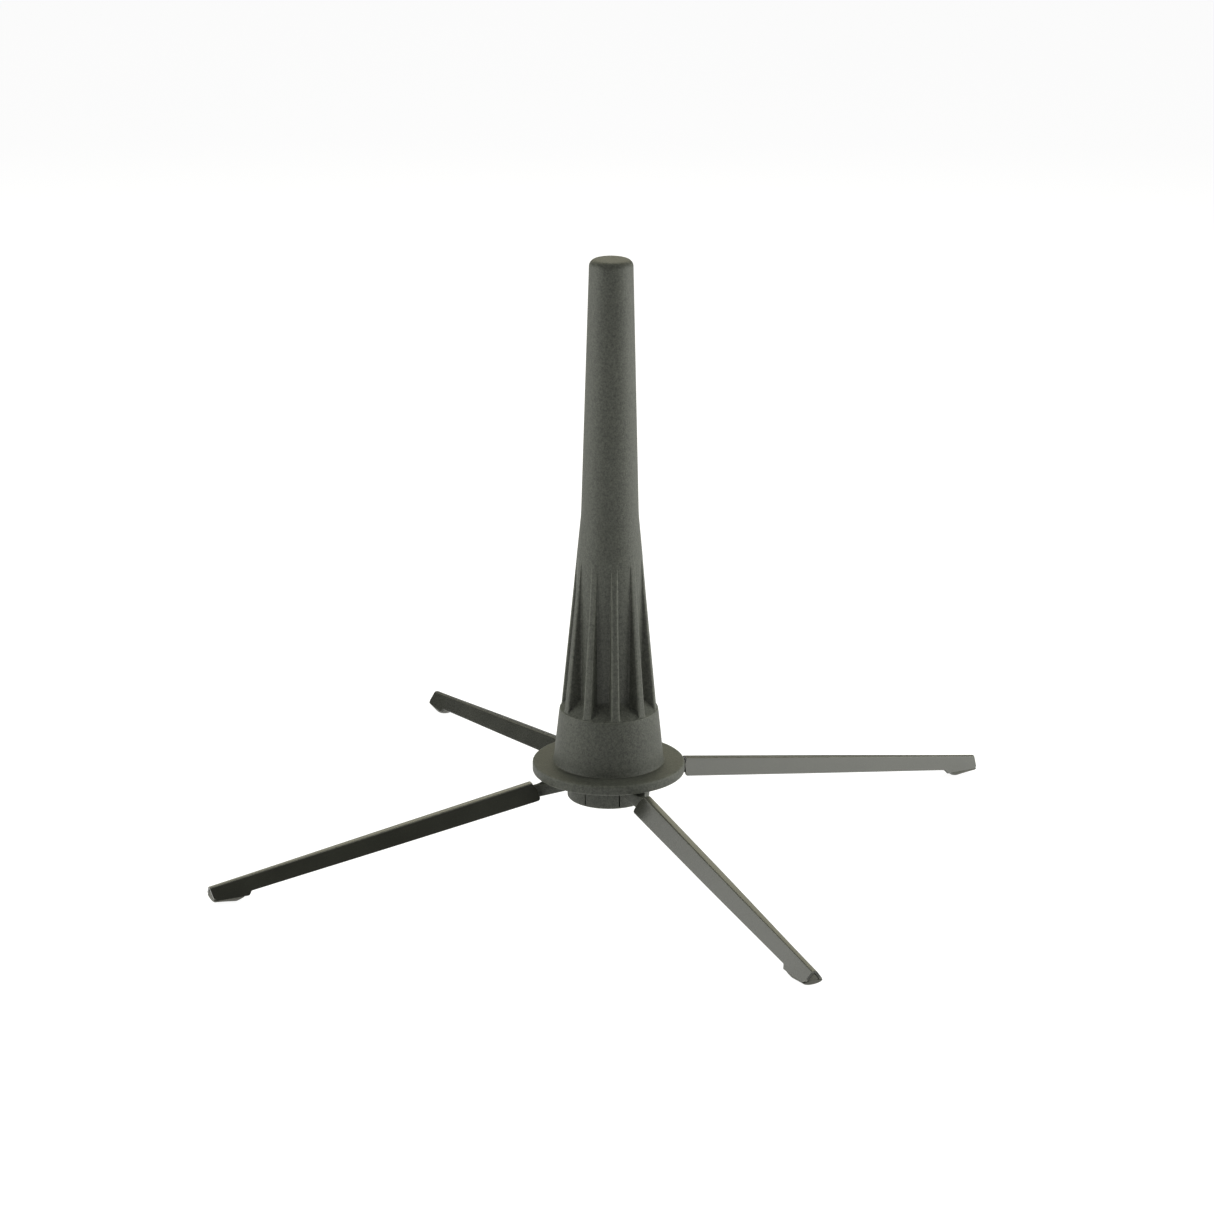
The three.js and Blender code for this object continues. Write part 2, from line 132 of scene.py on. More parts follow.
class PegSizes(bpy.types.PropertyGroup):
    """Sizes of the fluted peg."""

    bend_height: length("Bend height", "Where the slim taper meets the wide one", 107.97)
    bend_radius: length("Bend radius", "Radius of the peg at the bend", 9.1)
    top_radius: length("Top radius", "Radius of the peg just below its rounded top", 6.9)
    top_rounding: length("Top rounding", "Rounding of the top edge", 2.2)
    foot_radius: length("Foot radius", "Radius over the ribs where they end", 15.3)
    core_radius: length("Core radius", "Radius at the bottom of the flutes", 10.45)
    rib_foot_width: length("Rib width at foot", "Width of a rib at its lower end", 2.7)
    rib_head_width: length("Rib width at head", "Width of a rib at its upper end", 1.9)
    rib_edge: length("Rib edge", "Rounding of the rib edges", 0.5)
    rib_root: length("Rib root", "Fillet between a rib and the core", 0.45)
    collar_height: length("Collar height", "Plain collar below the ribs", 18.0)
    collar_step: length("Collar step", "How far the collar stands out past the ribs", 0.45)
    base_fillet: length("Base fillet", "Small flare where the collar meets the flange", 0.4)
    floor_slope: slope("Flute floor slope", "Rise of the flute floors to the core", 40.0)
    wall: length("Wall", "Wall thickness of the hollow upper part", 1.8)
    mouth_radius: length("Mouth radius", "Open lower end that fits over the spigot", 12.9)
    mouth_depth: length("Mouth depth", "Depth of the open lower end", 8.0)
    web: length("Web", "Solid web that holds the threaded insert", 11.0)
    insert_radius: length("Insert hole", "Radius of the hole for the threaded insert", 4.25)


class BaseSizes(bpy.types.PropertyGroup):
    """Sizes of the flange, hub, screw and washer."""

    flange_thickness: length("Flange thickness", "Thickness of the flange", 3.3)
    flange_edge: length("Flange edge", "Rounding of the upper rim", 0.9)
    flange_under: length("Flange lower edge", "Rounding of the lower rim", 0.5)
    spigot_radius: length("Spigot radius", "Raised centre that locates the peg", 12.6)
    shank_hole: length("Shank hole", "Radius of the hole for the screw", 2.7)
    hub_edge: length("Hub edge", "Rounding of the lower edge of the hub", 0.7)
    slit_width: length("Slit width", "Width of the fine slits in the hub", 0.45)
    slit_depth: length("Slit depth", "Depth of the fine slits in the hub", 1.2)
    slot_width: length("Slot width", "Width of the slots that hold the arms", 5.4)
    seat_gap: length("Seat gap", "Gap above and below an arm in its slot", 0.15)
    recess_radius: length("Recess radius", "Recess for the screw head and washer", 5.3)
    recess_depth: length("Recess depth", "Depth of that recess", 3.6)
    head_radius: length("Head radius", "Radius of the screw head", 4.3)
    head_height: length("Head height", "Height of the screw head", 2.0)
    screw_radius: length("Screw radius", "Radius of the threaded shank", 2.4)
    thread_pitch: length("Thread pitch", "Distance from one thread to the next", 0.8)
    drive_radius: length("Drive radius", "Corner radius of the hexagon socket", 1.5)
    drive_depth: length("Drive depth", "Depth of the hexagon socket", 1.2)


class LegSizes(bpy.types.PropertyGroup):
    """Sizes of the folded channel legs, their arms, pins and pads."""

    sheet: length("Sheet", "Thickness of the folded sheet", 0.8)
    tip_top: length("Tip height", "Height of the top edge at the end of a leg", 5.6)
    pin_to_top: length("Pin to top", "From the hinge axis to the top of the channel", 2.7)
    top_width: length("Top width", "Width of the flat top, corner to corner", 2.1)
    tip_top_width: length("Tip top width", "The same at the end of the leg", 1.35)
    fold_radius: length("Fold radius", "Outer radius of the folds", 0.8)
    splay: slope("Splay", "How far the side walls lean out", 32.0)
    tip_splay: slope("Tip splay", "The same at the end of the leg", 37.0)
    root_depth: length("Root depth", "Depth of the channel at the hub", 5.15)
    neck_depth: length("Neck depth", "Depth of the channel before the foot", 4.05)
    foot_depth: length("Foot depth", "Depth of the channel where the foot begins", 5.0)
    tip_depth: length("Tip depth", "Depth of the channel at its end", 3.5)
    foot_length: length("Foot length", "Length of the deeper foot", 11.0)
    foot_step: length("Foot step", "Length of the step before the foot", 1.6)
    top_inner: length("Top past pin", "How far the flat top reaches inwards past the pin", 3.9)
    wall_inner: length("Walls past pin", "How far the walls reach inwards past the pin", 4.7)
    corner: length("Wall corner", "Rounding of the lower corners of the walls", 0.9)
    cut_edge: length("Cut edge", "Rounding of the cut sheet edges", 0.34)
    pin_radius: length("Pin radius", "Radius of the hinge pin", 1.0)
    arm_height: length("Arm height", "Height of the arm", 3.7)
    arm_half_width: length("Arm half width", "Half the width of the arm at its foot", 2.4)
    arm_straight: length("Arm straight", "Level part of the arm, from the axis", 15.0)
    arm_nose: length("Arm nose", "Round end of the arm about the pin", 1.65)
    tongue_half_width: length("Tongue half width", "Thin end inside the channel", 0.45)
    tongue_length: length("Tongue length", "How far the thin end reaches behind the pin", 2.6)
    slide_gap: length("Slide gap", "Play between the arm and the channel", 0.3)
    pad_inner: length("Pad length", "Inner end of the pad, in from the end", 12.7)
    pad_gap: length("Pad gap", "Gap between the pad and the sheet", 0.1)
    pad_toe: length("Pad toe", "Outer end of the level sole, in from the end", 7.6)
    pad_heel: length("Pad heel", "Inner end of the level sole, in from the end", 8.0)
    pad_tip: length("Pad tip", "Height of the sole at the end of the leg", 0.95)


class Colours(bpy.types.PropertyGroup):
    """Base colours of the finishes."""

    plastic: colour("Moulded plastic", "Peg, flange, hub and arms", 0.0505, 0.0535, 0.043)
    paint: colour("Paint", "Legs", 0.0235, 0.0245, 0.0185)
    pad: colour("Pad plastic", "Foot pads", 0.068, 0.068, 0.053)
    zinc: colour("Zinc", "Screw, washer and hinge pins", 0.5, 0.5, 0.48)
    brass: colour("Brass", "Threaded insert", 0.62, 0.42, 0.16)
    floor: colour("Floor", "Studio floor", 0.28, 0.28, 0.28)


# ---- Shader expressions -------------------------------------------------------------------------
class Wire:
    """A value socket that can be used in Python sums; each sum adds its Math node."""

    def __init__(self, finish, socket):
        self.finish = finish
        self.socket = socket

    def maths(self, operation, first, second):
        return self.finish.node("ShaderNodeMath", {"operation": operation}, {0: first, 1: second})

    def __add__(self, other):
        return self.maths("ADD", self, other)

    def __radd__(self, other):
        return self.maths("ADD", other, self)

    def __mul__(self, other):
        return self.maths("MULTIPLY", self, other)

    def __rmul__(self, other):
        return self.maths("MULTIPLY", other, self)

    def between(self, low, high):
        """0 below low, 1 above high and a straight line between them."""
        sockets = {0: self, 1: low, 2: high, 3: 0.0, 4: 1.0}
        return self.finish.node("ShaderNodeMapRange", {"clamp": True}, sockets)


class Finish:
    """A node material on object coordinates, with one shader."""

    def __init__(self, name, **fixed):
        self.material = bpy.data.materials.new(name)
        self.material.use_nodes = True
        self.tree = self.material.node_tree
        self.tree.nodes.clear()
        self.shader = self.tree.nodes.new("ShaderNodeBsdfPrincipled")
        output = self.tree.nodes.new("ShaderNodeOutputMaterial")
        self.tree.links.new(self.shader.outputs[0], output.inputs[0])
        for socket, value in fixed.items():
            self.shader.inputs[socket.replace("_", " ")].default_value = value
        self.place = self.node("ShaderNodeTexCoord", output="Object")

    def node(self, kind, settings=None, sockets=None, output=0):
        """Adds a node, sets it, fills its sockets and returns one output as a Wire."""
        made = self.tree.nodes.new(kind)
        for setting, value in (settings or {}).items():
            setattr(made, setting, value)
        for key, value in (sockets or {}).items():
            self.fill(made.inputs[key], value)
        return Wire(self, made.outputs[output])

    def fill(self, socket, value):
        if isinstance(value, Wire):
            self.tree.links.new(value.socket, socket)
        else:
            socket.default_value = value

    def feed(self, **values):
        """Links values to the shader's sockets."""
        for socket, value in values.items():
            self.fill(self.shader.inputs[socket.replace("_", " ")], value)
        return self.material

    def noise(self, scale, detail=2.0, roughness=0.5, place=None):
        sockets = {
            "Vector": place or self.place,
            "Scale": scale,
            "Detail": detail,
            "Roughness": roughness,
        }
        return self.node("ShaderNodeTexNoise", sockets=sockets)

    def stretched(self, along_x, along_y, along_z):
        """Object coordinates scaled along each axis."""
        sockets = {0: self.place, 1: (along_x, along_y, along_z)}
        return self.node("ShaderNodeVectorMath", {"operation": "MULTIPLY"}, sockets)

    def mix(self, share, first, second):
        """Colour that goes from first to second as share goes from 0 to 1."""
        sockets = {0: share, 6: first, 7: second}
        return self.node("ShaderNodeMix", {"data_type": "RGBA"}, sockets, output=2)

    def wear(self):
        """The piece's own edge attribute for abrasion and a painted highlight: 0 on flat and
        hollow faces, 1 on tight edges.
        """
        return self.node("ShaderNodeAttribute", {"attribute_name": "wear"}, output="Fac")

    def bump(self, height, distance, strength=1.0):
        sockets = {"Height": height, "Distance": distance, "Strength": strength}
        return self.node("ShaderNodeBump", sockets=sockets)


def shade(base, factor):
    """A colour made lighter or darker, with its alpha."""
    return (*(min(1.0, part * factor) for part in base), 1.0)


def moulded_plastic(base):
    """Glass-filled nylon: spark-eroded grain, faint flow clouds and lighter tight edges, part
    rubbing and part painted highlight.
    """
    finish = Finish("moulded_plastic", Roughness=0.58, IOR=1.43)
    grain = finish.noise(1900.0, 3.0, 0.6)
    speck = finish.noise(900.0, 1.0)
    cloud = finish.noise(38.0, 3.0)
    mottled = grain * 0.6 + speck * 0.25 + cloud * 0.15
    body = finish.mix(mottled.between(0.36, 0.64), shade(base, 0.55), shade(base, 1.45))
    # Lighter tight edges in patches: partly rubbing, partly a painted highlight for the light the
    # rib edges catch.
    rubbed_and_highlit = finish.wear() * speck.between(0.2, 0.6)
    tone = finish.mix(rubbed_and_highlit * 0.55, body, shade(base, 2.3))
    return finish.feed(
        Base_Color=tone,
        Roughness=0.5 + mottled * 0.18,
        Normal=finish.bump(grain + speck * 0.6, 0.0001, 0.75),
    )


def satin_paint(base):
    """Powder coat over folded sheet: fine peel, faint clouds, dust flecks and lighter edges, part
    abrasion and part painted highlight.
    """
    finish = Finish("satin_paint", Roughness=0.34, IOR=1.52)
    peel = finish.noise(1400.0, 2.0)
    cloud = finish.noise(60.0, 2.0)
    dust = finish.noise(5200.0, 1.0)
    body = finish.mix(cloud.between(0.3, 0.7), shade(base, 0.85), shade(base, 1.15))
    flecked = finish.mix(dust.between(0.66, 0.72) * 0.35, body, shade(base, 3.0))
    # Lighter, slightly metallic tight edges: partly abrasion of the paint, partly a painted
    # highlight along the cut edges.
    worn_and_highlit = finish.wear() * peel.between(0.1, 0.55)
    tone = finish.mix(worn_and_highlit * 0.55, flecked, (0.3, 0.3, 0.26, 1.0))
    return finish.feed(
        Base_Color=tone,
        Metallic=worn_and_highlit * 0.35,
        Roughness=0.2 + cloud * 0.06 + peel * 0.04,
        Normal=finish.bump(peel + dust * 0.3, 0.00004, 0.35),
    )


def pad_plastic(base):
    """Soft moulded plastic, scuffed where it stands on the floor."""
    finish = Finish("pad_plastic", Roughness=0.6, IOR=1.5)
    grain = finish.noise(2200.0, 2.0)
    cloud = finish.noise(240.0, 2.0)
    scuff = finish.noise(900.0, 3.0, 0.7, finish.stretched(1.0, 1.0, 6.0))
    mottled = grain * 0.6 + cloud * 0.4
    body = finish.mix(mottled.between(0.35, 0.65), shade(base, 0.82), shade(base, 1.15))
    tone = finish.mix(scuff.between(0.6, 0.75) * 0.3, body, shade(base, 1.9))
    return finish.feed(
        Base_Color=tone,
        Roughness=0.52 + mottled * 0.16,
        Normal=finish.bump(grain + scuff * 0.4, 0.00006, 0.5),
    )


def zinc_steel(base):
    """Zinc-plated steel with turning lines and pale patches."""
    finish = Finish("zinc_steel", Metallic=1.0, Roughness=0.32)
    patch = finish.noise(700.0, 3.0, 0.6)
    lines = finish.noise(900.0, 2.0, 0.5, finish.stretched(0.4, 0.4, 9.0))
    tone = finish.mix(patch.between(0.3, 0.7), shade(base, 0.8), shade(base, 1.15))
    return finish.feed(
        Base_Color=tone,
        Roughness=0.24 + patch * 0.2,
        Normal=finish.bump(lines, 0.00003, 0.4),
    )


def turned_brass(base):
    """Turned brass with a thin, patchy tarnish."""
    finish = Finish("turned_brass", Metallic=1.0, Roughness=0.3)
    patch = finish.noise(500.0, 3.0)
    lines = finish.noise(800.0, 2.0, 0.5, finish.stretched(0.3, 0.3, 10.0))
    tone = finish.mix(patch.between(0.35, 0.7), shade(base, 1.0), shade(base, 0.6))
    return finish.feed(
        Base_Color=tone,
        Roughness=0.22 + patch * 0.25,
        Normal=finish.bump(lines, 0.00003, 0.5),
    )


def studio_floor(base):
    """Plain pale floor."""
    finish = Finish("studio_floor", Roughness=0.9, Emission_Strength=0.93)
    cloud = finish.noise(3.0, 2.0)
    tone = finish.mix(cloud, shade(base, 0.99), shade(base, 1.0))
    glow = finish.mix(cloud, (0.99, 0.99, 0.99, 1.0), (1.0, 1.0, 1.0, 1.0))
    return finish.feed(Base_Color=tone, Emission_Color=glow)


MAKERS = {
    "plastic": moulded_plastic,
    "paint": satin_paint,
    "pad": pad_plastic,
    "zinc": zinc_steel,
    "brass": turned_brass,
    "floor": studio_floor,
}
made_finishes = {}


def finish_of(kind):
    """The material of one finish, made once."""
    if kind not in made_finishes:
        colours = bpy.context.scene.stand_colours
        made_finishes[kind] = MAKERS[kind](tuple(getattr(colours, kind)))
    return made_finishes[kind]


# ---- Mesh helpers -------------------------------------------------------------------------------
def welded(bm):
    """Joins corners that meet, drops what has no area and turns the faces outwards."""
    bmesh.ops.remove_doubles(bm, verts=bm.verts, dist=WELD)
    bmesh.ops.dissolve_degenerate(bm, edges=bm.edges, dist=WELD)
    bmesh.ops.recalc_face_normals(bm, faces=bm.faces)
    return bm


def draped(rows, columns, place):
    """A grid whose corners are moved to place(row, column); rows or seams that meet are welded."""
    bm = bmesh.new()
    bmesh.ops.create_grid(bm, x_segments=columns, y_segments=rows, size=1.0)
    for vert in bm.verts:
        column = round((vert.co.x + 1.0) / 2.0 * columns)
        row = round((vert.co.y + 1.0) / 2.0 * rows)
        vert.co = place(row, column)
    return welded(bm)


def spun(outline, steps=96):
    """Turned piece: an outline of (radius, height) corners spun round the axis."""
    bm = bmesh.new()
    line = [bm.verts.new((radius, 0.0, height)) for radius, height in outline]
    edges = [bm.edges.new(pair) for pair in zip(line, line[1:])]
    bmesh.ops.spin(
        bm,
        geom=line + edges,
        cent=(0.0, 0.0, 0.0),
        axis=(0.0, 0.0, 1.0),
        angle=2.0 * math.pi,
        steps=steps,
        use_merge=True,
    )
    return welded(bm)


def rounded(corners, steps=5):
    """Outline with its corners rounded: each corner is (radius, height, rounding)."""
    outline = []
    for before, corner, after in zip(corners, corners[1:], corners[2:]):
        here = Vector(corner[:2])
        if not corner[2]:
            outline.append(tuple(here))
            continue
        back = (Vector(before[:2]) - here).normalized() * corner[2]
        on = (Vector(after[:2]) - here).normalized() * corner[2]
        for step in range(steps + 1):
            share = step / steps
            bend = here + back * (1 - share) ** 2 + on * share**2
            outline.append(tuple(bend))
    return [corners[0][:2], *outline, corners[-1][:2]]


def prism(width, depth, height, middle, turn=0.0):
    """Box cutter, turned about the axis."""
    bm = bmesh.new()
    bmesh.ops.create_cube(bm, size=1.0)
    bmesh.ops.scale(bm, vec=(width, depth, height), verts=bm.verts)
    bmesh.ops.translate(bm, vec=middle, verts=bm.verts)
    bmesh.ops.rotate(bm, matrix=Matrix.Rotation(turn, 3, "Z"), verts=bm.verts)
    return bm


def rod(radius, height, segments, matrix):
    """Cylinder about its own middle, placed by the matrix."""
    bm = bmesh.new()
    bmesh.ops.create_cone(
        bm,
        cap_ends=True,
        segments=segments,
        radius1=radius,
        radius2=radius,
        depth=height,
        matrix=matrix,
    )
    return bm


def add_object(name, data):
    """A new object at the origin, in the scene."""
    made = bpy.data.objects.new(name, data)
    bpy.context.scene.collection.objects.link(made)
    return made


def as_object(bm, name):
    """The bmesh as an object at the origin."""
    mesh = bpy.data.meshes.new(name)
    bm.to_mesh(mesh)
    bm.free()
    return add_object(name, mesh)


def discard(piece):
    """Removes an object and its mesh."""
    mesh = piece.data
    bpy.data.objects.remove(piece)
    bpy.data.meshes.remove(mesh)


def settle(piece):
    """Applies the piece's modifiers to its mesh."""
    bpy.context.view_layer.update()
    graph = bpy.context.evaluated_depsgraph_get()
    mesh = bpy.data.meshes.new_from_object(piece.evaluated_get(graph))
    old = piece.data
    piece.modifiers.clear()
    piece.data = mesh
    bpy.data.meshes.remove(old)
    mesh.name = piece.name


def carve(piece, cutters):
    """Takes each cutter away from the piece."""
    tools = [as_object(cutter, f"cutter_{number}") for number, cutter in enumerate(cutters)]
    for tool in tools:
        cut = piece.modifiers.new(tool.name, "BOOLEAN")
        cut.operation = "DIFFERENCE"
        cut.solver = "EXACT"
        cut.object = tool
    settle(piece)
    for tool in tools:
        discard(tool)


def soften(piece, width, segments=2, limit=35.0):
    """Bevels the edges that are sharper than limit."""
    bevel = piece.modifiers.new("soft_edges", "BEVEL")
    bevel.width = width
    bevel.segments = segments
    bevel.limit_method = "ANGLE"
    bevel.angle_limit = math.radians(limit)
    bevel.use_clamp_overlap = True
    settle(piece)


WEAR_AND_HIGHLIGHT_FROM, WEAR_AND_HIGHLIGHT_FULL = 1 / (1.4 * MM), 1 / (0.5 * MM)  # curvatures where edge abrasion and the painted edge highlight start and are full


def mark_wear_and_highlight(mesh):
    """Stores how tightly each corner is rounded outwards as an attribute that drives edge abrasion
    and a painted edge highlight.
    """
    bm = bmesh.new()
    bm.from_mesh(mesh)
    tightest = [0.0] * len(bm.verts)
    for edge in bm.edges:
        if len(edge.link_faces) == 2:
            spacing = sum(face.calc_area() for face in edge.link_faces) / 2 / edge.calc_length()
            curve = edge.calc_face_angle_signed(0.0) / spacing
            for vert in edge.verts:
                tightest[vert.index] = max(tightest[vert.index], curve)
    bm.free()
    wear = mesh.attributes.new("wear", "FLOAT", "POINT")
    span = WEAR_AND_HIGHLIGHT_FULL - WEAR_AND_HIGHLIGHT_FROM
    wear.data.foreach_set(
        "value", [clamped((curve - WEAR_AND_HIGHLIGHT_FROM) / span) for curve in tightest]
    )


def dress(piece, body, kind, nodes, crease=40.0):
    """Smooth shading, edge mask for abrasion and painted highlight, finish and place in the frame.
    """
    mark_wear_and_highlight(piece.data)
    piece.data.shade_smooth()
    piece.data.set_sharp_from_angle(angle=math.radians(crease))
    piece.data.materials.clear()
    piece.data.materials.append(finish_of(kind))
    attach(piece, body)
    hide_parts(*nodes)


def four_round(piece, stem, bodies, kind, crease=40.0):
    """The piece lies along +X; makes its four copies, a quarter turn apart."""
    for turn, side in enumerate(SIDES):
        mesh = piece.data.copy()
        mesh.transform(Matrix.Rotation(turn * QUARTER, 4, "Z"))
        name = f"{stem}_{side}_piece"
        mesh.name = name
        dress(add_object(name, mesh), bodies[turn], kind, [f"{stem}_{side}"], crease)
    discard(piece)


def clamped(share):
    return min(1.0, max(0.0, share))


def smoothstep(share):
    share = clamped(share)
    return share * share * (3.0 - 2.0 * share)


def mixed(share, first, second):
    """From first to second as share goes from 0 to 1."""
    return first + (second - first) * share


def graded(value, low, high, first, second):
    """From first at low to second at high, and level outside them."""
    return mixed(clamped((value - low) / (high - low)), first, second)


def levels(high, low, step):
    """Heights down from high, about a step apart, that stop short of low."""
    count = max(1, round((high - low) / step))
    return [high + (low - high) * number / count for number in range(count)]


# ---- Peg ----------------------------------------------------------------------------------------
RIBS = 10
EDGE_STEPS = 3
ROOT_STEPS = 3
CORE_STEPS = 6
SPREAD = 14 * MM  # above the ribs the columns even out over this height
BEND_SOFT = 1.6 * MM  # half height of the softened bend
FLOOR_FILLET = 0.9 * MM  # reach of the fillet where a flute floor meets the core


class RibSection:
    """Points across one half of a rib, from its middle to the middle of the flute."""

    def __init__(self, sizes):
        self.sizes = sizes
        self.half_sector = math.pi / RIBS
        self.columns = [("top", 0.0), ("top", 0.55), ("top", 1.0)]
        self.columns += [("edge", step / EDGE_STEPS) for step in range(1, EDGE_STEPS + 1)]
        self.columns += [("side", 1 / 3), ("side", 2 / 3)]
        self.columns += [("root", step / ROOT_STEPS) for step in range(ROOT_STEPS + 1)]
        self.columns += [("core", step / CORE_STEPS) for step in range(1, CORE_STEPS + 1)]

    def polar(self, column, outer, core, half_width):
        """(radius, angle) of a column where the rib stands from core out to outer."""
        kind, share = self.columns[column]
        rise = max(0.0, outer - core)
        edge = min(self.sizes.rib_edge, 0.45 * rise)
        root = min(self.sizes.rib_root, 0.45 * rise)
        shoulder = half_width - edge
        if kind == "top":
            across = shoulder * share
            return outer, math.asin(across / outer)
        shoulder_out = math.sqrt(outer**2 - half_width**2)
        root_across = half_width + root
        root_in = math.sqrt(core**2 - root_across**2)
        if kind == "edge":
            bend = share * QUARTER
            across = shoulder + edge * math.sin(bend)
            out = shoulder_out - edge * (1 - math.cos(bend))
        elif kind == "side":
            across = half_width
            out = (shoulder_out - edge) * (1 - share) + (root_in + root) * share
        elif kind == "root":
            bend = share * QUARTER
            across = half_width + root * (1 - math.cos(bend))
            out = root_in + root * (1 - math.sin(bend))
        else:
            start = math.asin(root_across / core)
            return core, start + (self.half_sector - start) * share
        return math.hypot(out, across), math.atan2(across, out)


def peg_outline(sizes):
    """(height, radius over the ribs, radius between them) down the outside of the peg."""
    low, top = PEG_LOW.z, PEG_HIGH.z
    collar_top, shoulder = low + sizes.collar_height, top - sizes.top_rounding
    bend_height, depth = sizes.bend_height, sizes.foot_radius - sizes.core_radius
    rise = math.tan(sizes.floor_slope)
    taper = (sizes.foot_radius - sizes.bend_radius) / (bend_height - collar_top)
    slim = (sizes.bend_radius - sizes.top_radius) / (shoulder - bend_height)
    rib_head = collar_top + depth / taper
    floor_head = collar_top + depth * rise

    rows = []

    def plain(height, radius):
        """A row without ribs."""
        rows.append((height, radius, radius))

    plain(top, 0.0)
    plain(top, 0.35 * sizes.top_radius)
    flat = sizes.top_radius - sizes.top_rounding
    for step in range(9):
        bend = step / 8 * QUARTER
        drop = sizes.top_rounding * (1 - math.cos(bend))
        plain(top - drop, flat + sizes.top_rounding * math.sin(bend))
    marks = (  # where the spacing of the rows changes, and the spacing above, in millimetres
        (shoulder, 0.0),
        (bend_height + BEND_SOFT, 3.5),
        (bend_height - BEND_SOFT, 0.4),
        (rib_head + MM, 1.2),
        (rib_head - 4 * MM, 0.4),
        (floor_head + FLOOR_FILLET, 1.5),
        (floor_head - FLOOR_FILLET, 0.3),
        (collar_top, 0.5),
    )
    heights = []
    for (above, _), (below, spacing) in zip(marks, marks[1:]):
        heights += levels(above, below, spacing * MM)
    for height in (*heights[1:], collar_top):
        offset = min(1.0, abs(height - bend_height) / BEND_SOFT)
        if height >= bend_height:
            outer = graded(height, bend_height, shoulder, sizes.bend_radius, sizes.top_radius)
        else:
            outer = sizes.foot_radius - taper * (height - collar_top)
        outer += (taper - slim) * BEND_SOFT / 4 * (1 - offset) ** 2
        floor = sizes.foot_radius - (height - collar_top) / rise
        near = max(0.0, 1 - abs(floor - sizes.core_radius) / FLOOR_FILLET)
        inner = max(sizes.core_radius, floor) + near**2 * FLOOR_FILLET / 4
        rows.append((height, outer, min(outer, inner)))
    rim = sizes.foot_radius + sizes.collar_step
    lip = sizes.collar_step
    for drop, short in ((0.0, 1.0), (0.25, 0.62), (0.55, 0.25), (1.0, 0.04)):
        plain(collar_top - drop * lip, rim - short * lip)
    base, flare, collar_low = PEG_HIGH.x, sizes.base_fillet, low + sizes.base_fillet
    for step in range(1, 13):
        height = mixed(step / 12, collar_top - 1.5 * lip, collar_low)
        plain(height, mixed((collar_top - height) / (collar_top - low), rim, base))
    for step in range(1, 4):
        bend = step / 3 * QUARTER
        plain(low + flare * (1 - math.sin(bend)), base + flare * (1 - math.cos(bend)))
    return rows, rib_head


def peg_inside(sizes):
    """Rows of the bore: mouth, web, insert hole and the hollow above it."""
    low, top = PEG_LOW.z, PEG_HIGH.z
    web_low = low + sizes.mouth_depth
    web_top = web_low + sizes.web
    ceiling = top - sizes.top_rounding - sizes.wall
    hollow = sizes.core_radius - sizes.wall
    bevel = 0.4 * MM
    corners = [
        (low, sizes.mouth_radius + bevel),
        (low + bevel, sizes.mouth_radius),
        (web_low - bevel, sizes.mouth_radius),
        (web_low, sizes.mouth_radius - bevel),
        (web_low, sizes.insert_radius + bevel),
        (web_low + bevel, sizes.insert_radius),
        (web_top, sizes.insert_radius),
        (web_top, hollow),
        (sizes.bend_height, sizes.bend_radius - sizes.wall),
        (ceiling, sizes.top_radius - sizes.wall),
        (ceiling, 0.0),
    ]
    return [(height, radius, radius) for height, radius in corners]


class StandPeg(bpy.types.Operator):
    """Fluted peg with its collar, mouth and hollow"""

    bl_idname = "stand.peg"
    bl_label = "Peg"

    def execute(self, context):
        sizes = context.scene.stand_peg
        section = RibSection(sizes)
        outside, rib_head = peg_outline(sizes)
        rows = outside + peg_inside(sizes)
        count = len(section.columns) - 1
        columns = 2 * count * RIBS
        foot = PEG_LOW.z + sizes.collar_height

        def place(row, column):
            height, outer, inner = rows[row]
            rib, step = divmod(column, 2 * count)
            mirrored = step > count
            own = 2 * count - step if mirrored else step
            widths = sizes.rib_foot_width / 2, sizes.rib_head_width / 2
            half_width = graded(height, foot, rib_head, *widths)
            even = section.half_sector * own / count
            spread = smoothstep((height - rib_head) / SPREAD)
            if outer > sizes.core_radius and height > foot:
                radius, angle = section.polar(own, outer, min(inner, outer), half_width)
            else:
                guide = max(outer, sizes.core_radius)
                angle = section.polar(own, guide, sizes.core_radius, half_width)[1]
                radius = outer
            if height <= foot:
                spread = 0.0 if row < len(outside) else 1.0
            angle = mixed(spread, angle, even)
            if mirrored:
                angle = -angle
                rib += 1
            angle += rib * 2 * section.half_sector
            return Vector((radius * math.cos(angle), radius * math.sin(angle), height))

        piece = as_object(draped(len(rows) - 1, columns, place), "fluted_peg")
        dress(piece, "stand", "plastic", ["peg"], 50.0)
        return {"FINISHED"}


# ---- Flange, hub, screw and washer --------------------------------------------------------------
class StandFlange(bpy.types.Operator):
    """Round flange with its rounded rim and spigot"""

    bl_idname = "stand.flange"
    bl_label = "Flange"

    def execute(self, context):
        sizes = context.scene.stand_base
        low, rim = FLANGE_LOW.z, FLANGE_HIGH.x
        top = low + sizes.flange_thickness
        hole, spigot = sizes.shank_hole, sizes.spigot_radius
        small = 0.4 * MM
        corners = [
            (hole, (low + top) / 2, 0.0),
            (hole, low, small),
            (rim, low, sizes.flange_under),
            (rim, top, sizes.flange_edge),
            (spigot, top, 0.0),
            (spigot, FLANGE_HIGH.z, small),
            (hole, FLANGE_HIGH.z, small),
            (hole, (low + top) / 2, 0.0),
        ]
        piece = as_object(spun(rounded(corners), 160), "round_flange")
        dress(piece, "stand", "plastic", ["flange_disc"], 50.0)
        return {"FINISHED"}


SLIT_ANGLES = (-10.7, 29.6)  # degrees from each arm


